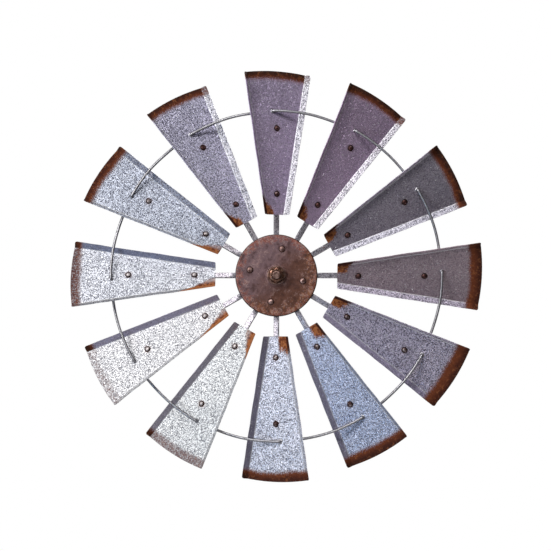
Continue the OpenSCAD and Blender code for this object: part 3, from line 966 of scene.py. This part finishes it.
def front_disc():
    """Disc with a chamfered, slightly uneven rim and a beaten face."""
    hammered = Waves(HUB_FACE_SEED, 9, 40, 14)
    rough_rim = Waves(HUB_RIM_SEED, 12, 60)
    low, high = FRONT_DISC

    def beaten(r, a, z):
        dent = np.abs(hammered(r * np.cos(a), r * np.sin(a))) * 0.22 * smooth((r - 18) / 8) * (z > high - 1.5)
        rim = np.abs(rough_rim(np.cos(a) * HUB_DISC_R, np.sin(a) * HUB_DISC_R)) * (r > 50)
        return r * (1 - 0.0018 * rim), z - dent

    corners = [(BORE_R, low), (HUB_DISC_R, low), (HUB_DISC_R, high - 1.2), (HUB_DISC_R - 1.6, high),
               (BORE_R, high)]
    ring_piece("front_hub_disc", corners, HUB, "wheel", 0.7, 192, 2.0, beaten)


def sleeve():
    """Tube with a counterbore for a bush at each end, chamfered in front."""
    low, high = SLEEVE
    corners = [(SLEEVE_BORE_R, low + 1), (BUSH_SEAT_R, low + 1), (BUSH_SEAT_R, low), (BORE_R, low),
               (BORE_R, high - 0.9), (BORE_R - 0.9, high), (BUSH_SEAT_R, high), (BUSH_SEAT_R, high - 1),
               (SLEEVE_BORE_R, high - 1)]
    ring_piece("hub_sleeve", corners, TURNED, "wheel", 0.15)


def bush(node, end, inwards):
    """Flanged bush that goes into the end of the sleeve along inwards, 1 or -1."""
    flange, length = end + inwards, end + inwards * 5.5
    corners = [(BUSH_BORE_R, end), (BUSH_SEAT_R, end), (BUSH_SEAT_R, flange), (SLEEVE_BORE_R, flange),
               (SLEEVE_BORE_R, length), (BUSH_BORE_R, length)]
    ring_piece(node, corners, BRONZE, "wheel", 0.12, 72)


def hub():
    front_disc()
    ring_piece("rear_hub_disc", washer_corners(BORE_R, reach("rear_hub_disc"), REAR_DISC), HUB, "wheel",
               0.5, 144)
    low, high = COLLAR
    collar = [(BORE_R, low), (16.5, low), (16.3, low + 0.5), (15.0, high), (BORE_R, high)]
    ring_piece("hub_collar", collar, HUB, "wheel", 0.3)
    sleeve()
    bush("front_bush", SLEEVE[1], -1)
    bush("rear_bush", SLEEVE[0], 1)


def axle():
    for node, outer, depth, material, slot, radius in (
            ("spacer_tube", SPACER_R, SPACER, PLATE_ZINC, "galvanised_bar", 0.4),
            ("rear_washer", WASHER_R, REAR_WASHER, ZINC_WASHER, "zinc_rod", 0.3),
            ("front_washer", WASHER_R, FRONT_WASHER, RUSTY, "rusty_steel", 0.4)):
        ring_piece(node, washer_corners(AXLE_HOLE_R, outer, depth), material, "wall_bracket", radius)
    stud()
    nut()
    wall_plate()


def stud():
    """Stud with a foot, a weld fillet round it, a plain shank and a cut thread at the front."""
    back, front = STUD
    thread_from = SLEEVE[1] - 2.0
    foot_z, foot_r = PLATE[1] + 3.0, 13.0
    chamfer = 1.2
    profile = [(0, back), (foot_r + 1.8, back), (foot_r + 1.5, back + 0.8), (foot_r + 0.5, back + 2.0),
               (foot_r, foot_z - 0.5), (foot_r - 0.5, foot_z), (AXLE_R, foot_z)]
    profile += [(AXLE_R, z) for z in np.linspace(foot_z + 1, thread_from, 14)]
    profile += [(AXLE_R, z) for z in np.arange(thread_from, front - chamfer, THREAD_PITCH / 8)[1:]]
    profile += [(AXLE_R - chamfer * 0.3, front - chamfer * 0.6), (AXLE_R - chamfer, front - 0.05),
                (AXLE_R - chamfer - 0.3, front), (3.0, front - 0.1), (1.4, front - 0.15), (0, front - 0.15)]
    bead = Waves(STUD_WELD_SEED, 3, 9)

    def cut(r, a, z):
        turn = (z / THREAD_PITCH - a / (2 * math.pi)) % 1.0
        tooth = np.clip(np.abs(turn - 0.5) * 2 * 1.25 - 0.12, 0, 1)
        fade = smooth((z - thread_from) / THREAD_PITCH) * (np.abs(r - AXLE_R) < 0.01)
        weld = (r > foot_r + 0.2) * bead(np.cos(a) * 15, np.sin(a) * 15) * 0.35
        return r - tooth * THREAD_DEPTH * fade + weld, z

    points, faces = lathe(profile, 72, shape=cut)
    make("axle_stud_turned", points, faces, TURNED, "wall_bracket", ["axle_stud"], 40)


def nut():
    """Hexagon nut, chamfered at both ends, with a countersunk bore."""
    half_flat = 9.5
    low, high = NUT
    inner = AXLE_R - THREAD_DEPTH * 0.3
    face_r, chamfer = half_flat - 1.9, 1.3
    profile = [(inner, low + 0.8), (inner + 0.9, low), (half_flat - 0.4, low), (half_flat - 0.1, low + 0.02)]
    profile += [(FAR, low + d) for d in (0.25, 0.6, 1.0, 1.5, 3)]
    profile += [(FAR, high - d) for d in (3, 2.4, 1.9, 1.6, chamfer)]
    profile += [(face_r + 1.2, high - 0.8), (face_r + 0.5, high - 0.3), (face_r, high), (inner + 0.9, high),
                (inner, high - 0.8)]

    def hexagon(r, a, z):
        flat = half_flat / np.cos((a + math.pi / 6) % (math.pi / 3) - math.pi / 6)
        cone = half_flat + np.minimum(z - low, high - z) * 1.5
        corner_r = half_flat / math.cos(math.pi / 6) - 0.35
        return np.where(r == FAR, np.minimum(np.minimum(flat, cone), corner_r), r), z

    points, faces = lathe(profile, 144, closed=True, shape=hexagon)
    make("axle_nut_hex", points, faces, RUSTY, "wall_bracket", ["axle_nut"], 25)


def wall_plate():
    """Round plate with rounded edges and four screw holes."""
    low, high = PLATE
    near_axis, outer = 0.001, reach("wall_plate")
    edge = rounded_profile([(near_axis, low), (outer, low), (outer, high), (near_axis, high)], 0.6)
    points, faces = lathe([(0, low), *(p for p in edge if p[0] > 1), (0, high)], 144)
    obj = make("wall_plate_disc", points, faces, PLATE_ZINC, "wall_bracket", ["wall_plate"],
               40)
    for i in range(SCREW_COUNT):
        at = turned([0, SCREW_CIRCLE_R, high / 2], math.radians(45) + i * math.pi / 2)
        drill(obj, at, SCREW_HOLE_R)
    shade(obj.data, 40)


# ---------- the setting ----------

TARGET = Vector((-0.0013, -MIDDLE * MM, 0))
CAMERA_DISTANCE = 2.2
CAMERA_ELEVATION = math.radians(-2.5)
VIEW_WIDTH = 0.8177  # across the picture, at the wheel
LAMP_DISTANCE, LAMP_SIZE = 2.6, 0.6
# Lamps in front: (name, degrees off the wheel's axis, degrees round it from the right, watts)
FRONT_LAMPS = (("key", 48, 150, 24.0), ("top", 48, 90, 18.0), ("top_left", 48, 120, 11.0),
               ("left", 52, 180, 10.0), ("fill", 48, 45, 2.3))


def aimed(name, data, away, distance):
    """A camera or a light that looks at the wheel's middle from this distance."""
    obj = new_object(name, data)
    obj.location = TARGET + away * distance
    obj.rotation_euler = (-away).to_track_quat("-Z", "Y").to_euler()
    return obj


def camera():
    data = bpy.data.cameras.new("camera")
    data.lens = data.sensor_width * CAMERA_DISTANCE / VIEW_WIDTH
    data.clip_end = 100
    away = Vector((0, -math.cos(CAMERA_ELEVATION), math.sin(CAMERA_ELEVATION)))
    bpy.context.scene.camera = aimed("camera", data, away, CAMERA_DISTANCE)


def area_light(name, direction, size, power, colour=(1, 1, 1)):
    """A square soft light in a direction given as (right, up, forward)."""
    data = bpy.data.lights.new(name, "AREA")
    data.shape, data.size, data.energy, data.color = "SQUARE", size, power, colour
    right, up, forward = direction
    aimed(name, data, Vector((right, -forward, up)).normalized(), LAMP_DISTANCE)


def lights():
    for name, off_axis, azimuth, power in FRONT_LAMPS:
        off, around = math.radians(off_axis), math.radians(azimuth)
        direction = (math.sin(off) * math.cos(around), math.sin(off) * math.sin(around), math.cos(off))
        area_light(name, direction, LAMP_SIZE, power)
    area_light("low_left", (-0.609, -0.426, 0.669), LAMP_SIZE, 4.0, (0.3, 0.6, 1.0))
    area_light("rear_key", (0.55, 0.6, -0.65), 1.6, 60)


def surroundings():
    """White to the camera, and almost dark as a light."""
    world = bpy.data.worlds.new("studio")
    bpy.context.scene.world = world
    world.use_nodes = True
    nodes, links = world.node_tree.nodes, world.node_tree.links
    dim, white = nodes["Background"], nodes.new("ShaderNodeBackground")
    for shader, strength in ((dim, 0.01), (white, 1.0)):
        shader.inputs["Color"].default_value = (1, 1, 1, 1)
        shader.inputs["Strength"].default_value = strength
    mix = nodes.new("ShaderNodeMixShader")
    links.new(nodes.new("ShaderNodeLightPath").outputs["Is Camera Ray"], mix.inputs[0])
    links.new(dim.outputs[0], mix.inputs[1])
    links.new(white.outputs[0], mix.inputs[2])
    links.new(mix.outputs[0], nodes["World Output"].inputs["Surface"])


def floor_material():
    """Pale grey, which the camera sees fade to white."""
    n = Nodes("floor", Base_Color=(0.86, 0.86, 0.86), Roughness=0.8)
    distance = n.add("VectorMath", {0: n.place}, operation="LENGTH").outputs["Value"]
    fade = n.add("MapRange", {"Value": distance, "From Min": 0.5, "From Max": 1.4}).outputs[0]
    seen = n.add("LightPath").outputs["Is Camera Ray"]
    glow = n.add("Emission", {"Color": (1, 1, 1)})
    mix = n.add("MixShader", {0: n.times(fade, seen), 1: n.shader.outputs[0], 2: glow.outputs[0]})
    n.give(n.tree.nodes["Material Output"].inputs["Surface"], mix.outputs[0])
    return n.material


def floor():
    """A plain pale floor below the wheel."""
    half, drop = 12.0, 1.6
    z = CAD_BOX[0].z - drop
    mesh = bpy.data.meshes.new("floor")
    corners = [(-half, -half, z), (half, -half, z), (half, half, z), (-half, half, z)]
    mesh.from_pydata(corners, [], [(0, 1, 2, 3)])
    mesh.materials.append(floor_material())
    obj = new_object("floor", mesh)


camera()
lights()
surroundings()
floor()
for number in range(BLADE_COUNT):
    blade(number)
    spoke(number)
    ring_rod(number)
blade_rivets("outer_blade_rivets", OUTER_RIVET_R, OUTER_RIVET_SEED)
blade_rivets("inner_blade_rivets", INNER_RIVET_R, INNER_RIVET_SEED)
hub_rivets()
hub()
axle()
bpy.context.scene.view_settings.view_transform = "Standard"
